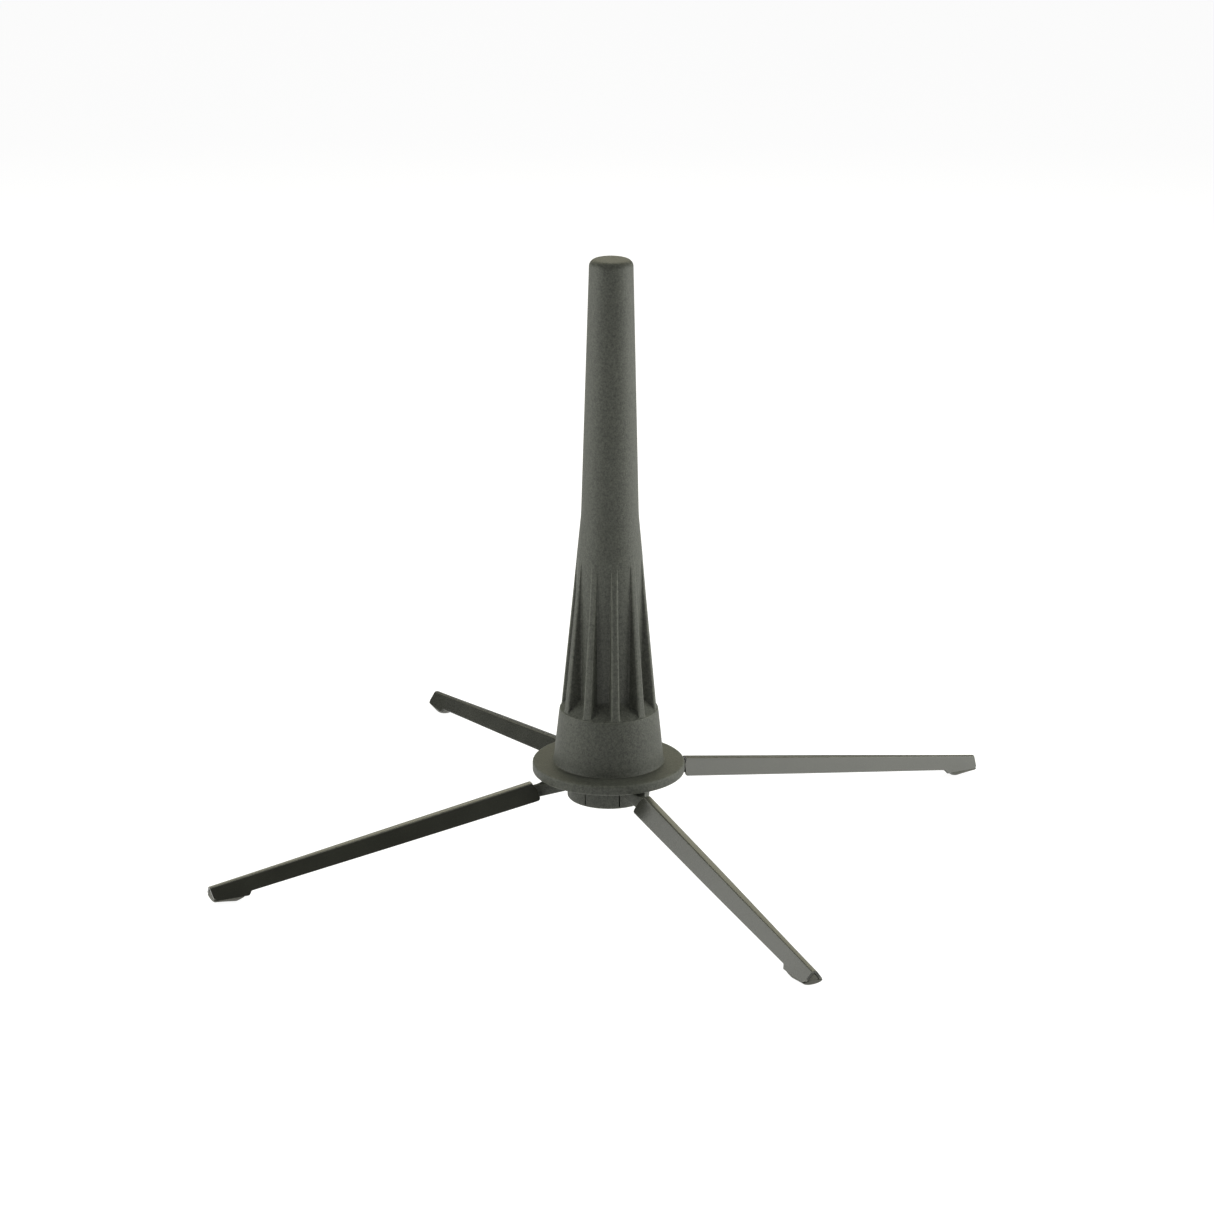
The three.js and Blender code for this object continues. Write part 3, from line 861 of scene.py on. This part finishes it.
class StandHub(bpy.types.Operator):
    """Slotted hub that clamps the arms, with fine slits round its rim"""

    bl_idname = "stand.hub"
    bl_label = "Hub"

    def execute(self, context):
        sizes = context.scene.stand_base
        low, top, rim = HUB_LOW.z, HUB_HIGH.z, HUB_HIGH.x
        hole, recess = sizes.shank_hole, sizes.recess_radius
        roof = low + sizes.recess_depth
        small = 0.3 * MM
        corners = [
            (hole, (roof + top) / 2, 0.0),
            (hole, roof, 0.0),
            (recess, roof, 0.0),
            (recess, low, small),
            (rim, low, sizes.hub_edge),
            (rim, top, small),
            (hole, top, 0.0),
            (hole, (roof + top) / 2, 0.0),
        ]
        piece = as_object(spun(rounded(corners), 128), "slotted_hub")
        legs = context.scene.stand_legs
        floor = top - 2 * sizes.seat_gap - legs.arm_height
        start = ARM_LOW.x - legs.slide_gap
        reach = 2 * rim
        cutters = []
        for turn in range(len(SIDES)):
            middle = (start + reach / 2, 0.0, floor + rim)
            cutters.append(prism(reach, sizes.slot_width, 2 * rim, middle, turn * QUARTER))
            for angle in SLIT_ANGLES:
                middle = (rim - sizes.slit_depth + reach / 2, 0.0, low + sizes.hub_edge + rim)
                twist = turn * QUARTER + math.radians(angle)
                cutters.append(prism(reach, sizes.slit_width, 2 * rim, middle, twist))
        carve(piece, cutters)
        dress(piece, "stand", "plastic", ["hub_drum"], 30.0)
        return {"FINISHED"}


class StandScrew(bpy.types.Operator):
    """Centre screw with its hexagon socket, and the washer above its head"""

    bl_idname = "stand.screw"
    bl_label = "Centre screw and washer"

    def execute(self, context):
        sizes = context.scene.stand_base
        low, top = SCREW_LOW.z, SCREW_HIGH.z
        head_top = low + sizes.head_height
        outline = rounded(
            [
                (0.0, low, 0.0),
                (sizes.head_radius, low, 0.5 * MM),
                (sizes.head_radius, head_top, 0.2 * MM),
                (sizes.screw_radius, head_top, 0.2 * MM),
                (sizes.screw_radius, head_top + MM, 0.0),
            ]
        )
        root = sizes.screw_radius - 0.3 * MM
        height = head_top + MM + sizes.thread_pitch
        while height < top - sizes.thread_pitch:
            outline.append((root, height - sizes.thread_pitch / 2))
            outline.append((sizes.screw_radius, height))
            height += sizes.thread_pitch
        outline += [(root - 0.3 * MM, top), (0.0, top)]
        piece = as_object(spun(outline, 64), "socket_screw")
        middle = Matrix.Translation((0.0, 0.0, low + (sizes.drive_depth - MM) / 2))
        carve(piece, [rod(sizes.drive_radius, sizes.drive_depth + MM, 6, middle)])
        dress(piece, "stand", "zinc", ["centre_screw"], 30.0)

        hole, rim = sizes.shank_hole, WASHER_HIGH.x
        corners = [
            (hole, (WASHER_LOW.z + WASHER_HIGH.z) / 2, 0.0),
            (hole, WASHER_LOW.z, 0.1 * MM),
            (rim, WASHER_LOW.z, 0.2 * MM),
            (rim, WASHER_HIGH.z, 0.1 * MM),
            (hole, WASHER_HIGH.z, 0.1 * MM),
            (hole, (WASHER_LOW.z + WASHER_HIGH.z) / 2, 0.0),
        ]
        piece = as_object(spun(rounded(corners, 3), 64), "flat_washer")
        dress(piece, "stand", "zinc", ["screw_washer"], 40.0)
        return {"FINISHED"}


# ---- Legs, arms, pins and pads, built along +X --------------------------------------------------
class LegFrame:
    """Directions and lengths of a leg: along it from the pin, and above the pin."""

    def __init__(self, sizes):
        run, fall = LEG_HIGH.x - PIN_AXIS.x, PIN_AXIS.z - sizes.tip_top
        span = math.hypot(run, fall)
        self.sizes = sizes
        self.tilt = math.atan(fall / run) + math.asin(sizes.pin_to_top / span)
        self.reach = math.sqrt(span**2 - sizes.pin_to_top**2)
        self.foot = self.reach - sizes.foot_length

    def point(self, along, depth, across):
        """A point at a depth below the top of the channel."""
        above = self.sizes.pin_to_top - depth
        cos, sin = math.cos(self.tilt), math.sin(self.tilt)
        x = PIN_AXIS.x + along * cos + above * sin
        z = PIN_AXIS.z - along * sin + above * cos
        return Vector((x, across, z))

    def depth_of(self, x, z):
        """Depth below the top of the channel of a point in the leg's plane."""
        above = (x - PIN_AXIS.x) * math.sin(self.tilt) + (z - PIN_AXIS.z) * math.cos(self.tilt)
        return self.sizes.pin_to_top - above

    def half_top(self, along):
        narrow = smoothstep((along - 0.35 * self.reach) / (0.65 * self.reach))
        return mixed(narrow, self.sizes.top_width, self.sizes.tip_top_width) / 2

    def lean(self, along):
        """Tangent of the splay."""
        flare = smoothstep((along - self.foot + 3 * MM) / (self.reach - self.foot + 3 * MM))
        return math.tan(mixed(flare, self.sizes.splay, self.sizes.tip_splay))

    def depth(self, along):
        """Depth of the side walls."""
        sizes = self.sizes
        step_start = self.foot - sizes.foot_step
        if along <= step_start:
            ends = sizes.root_depth, sizes.neck_depth
            return graded(along, -sizes.wall_inner, step_start, *ends)
        foot = graded(along, self.foot, self.reach, sizes.foot_depth, sizes.tip_depth)
        stepped = smoothstep((along - step_start) / sizes.foot_step)
        return mixed(stepped, sizes.neck_depth, foot)

    def across(self, along, depth, sunk=0.0):
        """Half width at a depth, sunk by a distance from the outer face of the wall."""
        lean = self.lean(along)
        return self.half_top(along) + depth * lean - sunk * math.hypot(1.0, lean)


FOLD_STEPS = 5
WALL_STEPS = 7


class StandLegs(bpy.types.Operator):
    """Four folded channel legs with their deeper feet"""

    bl_idname = "stand.legs"
    bl_label = "Legs"

    def execute(self, context):
        sizes = context.scene.stand_legs
        leg = LegFrame(sizes)
        corner = sizes.corner
        stations = [0.0, 0.04, 0.15, 0.35, 0.6, 0.85, 1.2, 2.0, 3.2, 5.0, 7.5, 10.5]
        stations = [-sizes.top_inner + place * MM for place in stations]
        step_start = leg.foot - sizes.foot_step
        while stations[-1] < step_start - 3 * MM:
            stations.append(stations[-1] + 2.6 * MM)
        stations += [step_start + sizes.foot_step * (step / 12 - 0.25) for step in range(19)]
        while stations[-1] < leg.reach - 2 * MM:
            stations.append(stations[-1] + 0.8 * MM)
        ends = (1.3, 1.0, 0.85, 0.6, 0.35, 0.15, 0.04, 0.0)
        stations += [leg.reach - place * MM for place in ends]
        half = 1 + FOLD_STEPS + WALL_STEPS

        def outline(along, own):
            """(across, depth) of a column from the middle of the top to the foot of the wall."""
            lean = leg.lean(along)
            turn = QUARTER - math.atan(lean)
            radius = sizes.fold_radius
            flat = leg.half_top(along) - radius * math.tan(turn / 2)
            if own == 0:
                return 0.0, 0.0
            if own <= FOLD_STEPS + 1:
                bend = turn * (own - 1) / FOLD_STEPS
                return flat + radius * math.sin(bend), radius * (1 - math.cos(bend))
            start = radius * (1 - math.cos(turn))
            full = leg.depth(along)
            for gap in (along + sizes.top_inner, leg.reach - along):
                if gap < corner:
                    full -= corner - math.sqrt(corner**2 - (corner - max(0.0, gap)) ** 2)
            depth = mixed((own - 1 - FOLD_STEPS) / WALL_STEPS, start, full)
            return leg.half_top(along) + depth * lean, depth

        def place(row, column):
            own = abs(column - half)
            along = stations[row]
            across, depth = outline(along, own)
            fade = 1.0 - smoothstep((along + sizes.top_inner) / (10 * MM))
            oblique = smoothstep((depth - 0.3 * MM) / (2.0 * MM))
            shift = (sizes.wall_inner - sizes.top_inner) * oblique * fade
            sign = 1.0 if column >= half else -1.0
            return leg.point(along - shift, depth, across * sign)

        bm = draped(len(stations) - 1, 2 * half, place)
        if sum(face.normal.z for face in bm.faces) < 0:
            bmesh.ops.reverse_faces(bm, faces=bm.faces)
        piece = as_object(bm, "leg_stock")
        wall = piece.modifiers.new("sheet", "SOLIDIFY")
        wall.thickness = sizes.sheet
        wall.offset = -1.0
        wall.use_even_offset = True
        settle(piece)
        soften(piece, sizes.cut_edge, 4, 50.0)
        four_round(piece, "leg", [f"folding_leg_{side}" for side in SIDES], "paint", 45.0)
        return {"FINISHED"}


ARM_SQUARE_TO, ARM_SPLAYS_OVER = 21 * MM, 4 * MM  # square in the hub, splayed in the channel
ARM_EDGE = 0.35 * MM  # rounding of the arm's edges
ARM_EDGE_STEPS = 3
BORE_PLAY, PIN_END_PLAY = 0.1 * MM, 0.03 * MM
PIN_SEGMENTS = 32


class StandArms(bpy.types.Operator):
    """Four arms from the hub to the hinge pins"""

    bl_idname = "stand.arms"
    bl_label = "Arms"

    def execute(self, context):
        sizes = context.scene.stand_legs
        leg = LegFrame(sizes)
        nose, pin = sizes.arm_nose, PIN_AXIS.x
        top = HUB_HIGH.z - context.scene.stand_base.seat_gap
        level = (top - sizes.arm_height, top)
        tip = (PIN_AXIS.z - nose, PIN_AXIS.z + nose)
        neck = pin - sizes.tongue_length
        inner = ARM_LOW.x
        places = [inner, inner, inner + 0.3 * MM]
        places += [inner + (neck - inner) * step / 14 for step in range(1, 14)]
        places += [neck - 0.25 * MM, neck - 0.01 * MM, neck + 0.2 * MM]
        places += [neck + (pin - neck) * step / 4 for step in range(1, 5)]
        places += [pin + nose * math.sin(step / 8 * QUARTER) for step in range(1, 9)]
        places.append(pin + nose)
        last = len(places) - 1
        sides = (1, 1), (1, -1), (-1, -1), (-1, 1)  # signs of y and z at the four corners
        ring = len(sides) * (ARM_EDGE_STEPS + 1)

        def place(row, column):
            x = places[row]
            low, high = (
                graded(x, sizes.arm_straight, pin, start, end) for start, end in zip(level, tip)
            )
            if x > pin:
                rise = math.sqrt(max(0.0, nose**2 - (x - pin) ** 2))
                low, high = PIN_AXIS.z - rise, PIN_AXIS.z + rise
            sunk = sizes.sheet + sizes.slide_gap
            splayed = smoothstep((x - ARM_SQUARE_TO) / ARM_SPLAYS_OVER)
            widths = []
            for z in (low, high):
                across = leg.across(0.0, leg.depth_of(x, z), sunk)
                across = mixed(splayed, sizes.arm_half_width, across)
                if x > neck:
                    across = min(across, sizes.tongue_half_width)
                widths.append(min(sizes.arm_half_width, max(0.1 * MM, across)))
            if row in (0, last):
                return Vector((x, 0.0, (low + high) / 2))
            soft = min(ARM_EDGE, 0.45 * (high - low), 0.9 * min(widths))
            corner, step = divmod(column % ring, ARM_EDGE_STEPS + 1)
            bend = (corner + step / ARM_EDGE_STEPS) * QUARTER
            side, upper = sides[corner][0], sides[corner][1] > 0
            y = side * (widths[upper] - soft) + soft * math.sin(bend)
            z = (high - soft if upper else low + soft) + soft * math.cos(bend)
            return Vector((x, y, z))

        piece = as_object(draped(last, ring, place), "arm_stock")
        carve(piece, [rod(sizes.pin_radius + BORE_PLAY, 20 * MM, PIN_SEGMENTS, ALONG_PIN)])
        four_round(piece, "arm", ["stand"] * len(SIDES), "plastic", 35.0)
        return {"FINISHED"}


class StandPins(bpy.types.Operator):
    """Four hinge pins between the walls of the channels"""

    bl_idname = "stand.pins"
    bl_label = "Hinge pins"

    def execute(self, context):
        sizes = context.scene.stand_legs
        leg = LegFrame(sizes)
        tightest = sizes.pin_to_top - sizes.pin_radius
        reach = leg.across(0.0, tightest, sizes.sheet) - PIN_END_PLAY
        piece = as_object(rod(sizes.pin_radius, 2 * reach, PIN_SEGMENTS, ALONG_PIN), "pin_stock")
        soften(piece, 0.12 * MM, 2, 50.0)
        four_round(piece, "hinge_pin", ["stand"] * len(SIDES), "zinc", 40.0)
        return {"FINISHED"}


HEEL_RISE, HEEL_BEND, TOE_BEND = 4.4 * MM, 1.7, 1.5  # curves of the sole past its level part


class StandPads(bpy.types.Operator):
    """Four foot pads that fill the ends of the channels and stand on the floor"""

    bl_idname = "stand.pads"
    bl_label = "Foot pads"

    def execute(self, context):
        sizes = context.scene.stand_legs
        leg = LegFrame(sizes)
        gap = sizes.pad_gap
        floor = LEG_HIGH.x - sizes.pad_heel, LEG_HIGH.x - sizes.pad_toe
        start_x = LEG_HIGH.x - sizes.pad_inner

        def sole(x):
            """Height of the underside."""
            if x < floor[0]:
                share = (floor[0] - x) / (floor[0] - start_x)
                return HEEL_RISE * share**HEEL_BEND
            if x > floor[1]:
                share = (x - floor[1]) / (LEG_HIGH.x - floor[1])
                return sizes.pad_tip * (1 - (1 - share) ** TOE_BEND)
            return 0.0

        def sole_depth(along):
            depth = sizes.foot_depth
            for _ in range(12):
                here = leg.point(along, depth, 0.0)
                depth += here.z - sole(here.x)
            return depth

        start = leg.reach - sizes.pad_inner
        places = [start, start, start + 0.3 * MM]
        while places[-1] < leg.reach - 0.9 * MM:
            places.append(places[-1] + 0.5 * MM)
        places += [leg.reach - 0.3 * MM, leg.reach - 0.12 * MM]
        places += [leg.reach - 0.04 * MM] * 2
        last = len(places) - 1
        rim = 0.25 * MM
        inside, under = 5, 10
        half = inside + under

        def half_outline(along, own, shrink):
            roof = sizes.sheet + gap
            wall_foot = leg.depth(along)
            bottom = sole_depth(along) - shrink
            meet = min(wall_foot + gap, bottom - 0.3 * MM)
            narrow, wide = (
                leg.across(along, meet, sunk) - shrink for sunk in (sizes.sheet + gap, 0.12 * MM)
            )
            wide = mixed(smoothstep((bottom - meet) / (0.8 * MM) - 0.3), narrow, wide)
            if own <= inside:
                depth = mixed(own / inside, roof + shrink, meet)
                if own == 0:
                    return 0.0, roof + shrink
                return leg.across(along, depth, sizes.sheet + gap) - shrink, depth
            bend = (own - inside - 1) / (under - 1) * QUARTER
            return wide * math.cos(bend), meet + (bottom - meet) * math.sin(bend)

        def place(row, column):
            own = abs(column - half)
            along = places[row]
            middle = (sizes.sheet + sole_depth(along)) / 2
            if row in (0, last):
                return leg.point(along, middle, 0.0)
            shrink = {1: rim, last - 1: rim, last - 2: 0.3 * rim}.get(row, 0.0)
            across, depth = half_outline(along, own, shrink)
            sign = 1.0 if column >= half else -1.0
            if own == half:
                across = 0.0
            return leg.point(along, depth, across * sign)

        piece = as_object(draped(last, 2 * half, place), "pad_stock")
        bodies = [f"folding_leg_{side}" for side in SIDES]
        four_round(piece, "foot_pad", bodies, "pad", 50.0)
        return {"FINISHED"}


class StandInsert(bpy.types.Operator):
    """Finish of the threaded insert, which keeps its frame shape"""

    bl_idname = "stand.insert"
    bl_label = "Threaded insert"

    def execute(self, context):
        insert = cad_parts["threaded_insert"]
        insert.data.materials.clear()
        insert.data.materials.append(finish_of("brass"))
        return {"FINISHED"}


# ---- Stage --------------------------------------------------------------------------------------
class StudioSettings(bpy.types.PropertyGroup):
    """Camera and lights."""

    turn: slope("Camera turn", "Angle of the right leg to the picture", 26.22)
    elevation: slope("Camera elevation", "Camera above the horizon", 18.12)
    roll: slope("Camera roll", "Turn of the picture", -0.292)
    distance: length("Camera distance", "From the middle of the base", 1281.0)
    side: length("Camera side shift", "Sideways shift of the view", -0.767, -500.0)
    rise: length("Camera rise", "Upward shift of the view", 73.43, -500.0)
    lens: FloatProperty(
        name="Lens", description="Focal length on a 36 mm sensor", default=117.64, min=1.0
    )
    left_light: power("Left light", "Power of the left softbox", 1.9)
    right_light: power("Right light", "Power of the right softbox", 2.5)
    top_light: power("Top light", "Power of the overhead panel", 2.5)
    back_light: power("Back light", "Power of the warm panel behind", 3.7)
    surround: FloatProperty(
        name="Surround", description="Brightness of the room", default=0.1, min=0.0
    )


NEUTRAL, WARM = (0.99, 1.0, 0.93), (1.0, 0.97, 0.74)  # light tints
PANELS = (  # power setting, middle, target, size and tint; +X is right in the picture, +Y away
    ("left_light", (-0.43, -0.07, 0.21), (0.0, -0.07, 0.21), (0.51, 0.4), NEUTRAL),
    ("right_light", (0.43, 0.005, 0.21), (0.0, 0.005, 0.21), (0.51, 0.4), NEUTRAL),
    ("top_light", (0.0, -0.1, 1.3), (0.0, 0.0, 0.0), (0.9, 0.9), NEUTRAL),
    ("back_light", (0.0, 0.6, 0.62), (0.0, 0.0, 0.12), (0.8, 0.7), WARM),
)


class StandStage(bpy.types.Operator):
    """Pale floor, soft studio light and the camera"""

    bl_idname = "stand.stage"
    bl_label = "Stage"

    def panel_light(self, name, middle, target, size, watts, tint):
        data = bpy.data.lights.new(name, "AREA")
        data.shape = "RECTANGLE"
        data.size, data.size_y = size
        data.energy = watts
        data.color = tint
        light = add_object(name, data)
        light.location = middle
        light.rotation_euler = (target - middle).to_track_quat("-Z", "Y").to_euler()

    def execute(self, context):
        scene = context.scene
        studio = scene.stand_studio
        scene.view_settings.view_transform = "Standard"
        to_part = Matrix.Rotation(-studio.turn, 3, "Z")

        bm = bmesh.new()
        bmesh.ops.create_grid(bm, x_segments=8, y_segments=8, size=6.0)
        floor = as_object(bm, "studio_floor")
        floor.data.transform(Matrix.Translation((0.0, 0.0, CAD_BOX[0][2])))
        floor.data.materials.append(finish_of("floor"))

        cos, sin = math.cos(studio.elevation), math.sin(studio.elevation)
        right, up, back = Vector((1, 0, 0)), Vector((0, sin, cos)), Vector((0, -cos, sin))
        place = right * studio.side + up * studio.rise + back * studio.distance
        roll_cos, roll_sin = math.cos(studio.roll), math.sin(studio.roll)
        side = right * roll_cos - up * roll_sin
        rise = right * roll_sin + up * roll_cos
        turn = Matrix((to_part @ side, to_part @ rise, to_part @ back)).transposed()
        data = bpy.data.cameras.new("camera")
        data.lens = studio.lens
        data.sensor_width = 36.0
        data.clip_start, data.clip_end = 0.05, 30.0
        camera = add_object("camera", data)
        camera.matrix_world = Matrix.Translation(to_part @ place) @ turn.to_4x4()
        scene.camera = camera

        for setting, middle, target, size, tint in PANELS:
            middle, target = to_part @ Vector(middle), to_part @ Vector(target)
            self.panel_light(setting, middle, target, size, getattr(studio, setting), tint)

        world = bpy.data.worlds.new("studio")
        scene.world = world
        world.use_nodes = True
        tree = world.node_tree
        tree.nodes.clear()
        kinds = ("LightPath", "MapRange", "Background", "OutputWorld")
        seen, level, room, output = (tree.nodes.new(f"ShaderNode{kind}") for kind in kinds)
        level.inputs["To Min"].default_value = studio.surround
        level.inputs["To Max"].default_value = 1.0
        tree.links.new(seen.outputs["Is Camera Ray"], level.inputs["Value"])
        tree.links.new(level.outputs[0], room.inputs["Strength"])
        room.inputs["Color"].default_value = (1.0, 1.0, 1.0, 1.0)
        tree.links.new(room.outputs[0], output.inputs[0])
        return {"FINISHED"}


# ---- Add-on -------------------------------------------------------------------------------------
BUILD_ORDER = (
    StandStage,
    StandPeg,
    StandFlange,
    StandHub,
    StandScrew,
    StandInsert,
    StandArms,
    StandPins,
    StandLegs,
    StandPads,
)
GROUPS = {
    "stand_peg": PegSizes,
    "stand_base": BaseSizes,
    "stand_legs": LegSizes,
    "stand_colours": Colours,
    "stand_studio": StudioSettings,
}


class StandPanel(bpy.types.Panel):
    """Buttons for the pieces of the stand."""

    bl_idname = "VIEW3D_PT_trumpet_stand"
    bl_label = "Trumpet Stand"
    bl_space_type = "VIEW_3D"
    bl_region_type = "UI"
    bl_category = "Stand"

    def draw(self, context):
        for step in BUILD_ORDER:
            self.layout.operator(step.bl_idname)
        for group, kind in GROUPS.items():
            box = self.layout.box()
            box.label(text=kind.__name__)
            for name in kind.__annotations__:
                box.prop(getattr(context.scene, group), name)


CLASSES = (*GROUPS.values(), *BUILD_ORDER, StandPanel)


def register():
    for kind in CLASSES:
        bpy.utils.register_class(kind)
    for name, kind in GROUPS.items():
        setattr(bpy.types.Scene, name, PointerProperty(type=kind))


def unregister():
    for name in GROUPS:
        delattr(bpy.types.Scene, name)
    for kind in reversed(CLASSES):
        bpy.utils.unregister_class(kind)


def main():
    register()
    for step in BUILD_ORDER:
        group, name = step.bl_idname.split(".")
        if getattr(getattr(bpy.ops, group), name)() != {"FINISHED"}:
            raise RuntimeError(f"{step.bl_label} was not built")


if __name__ == "__main__":
    main()
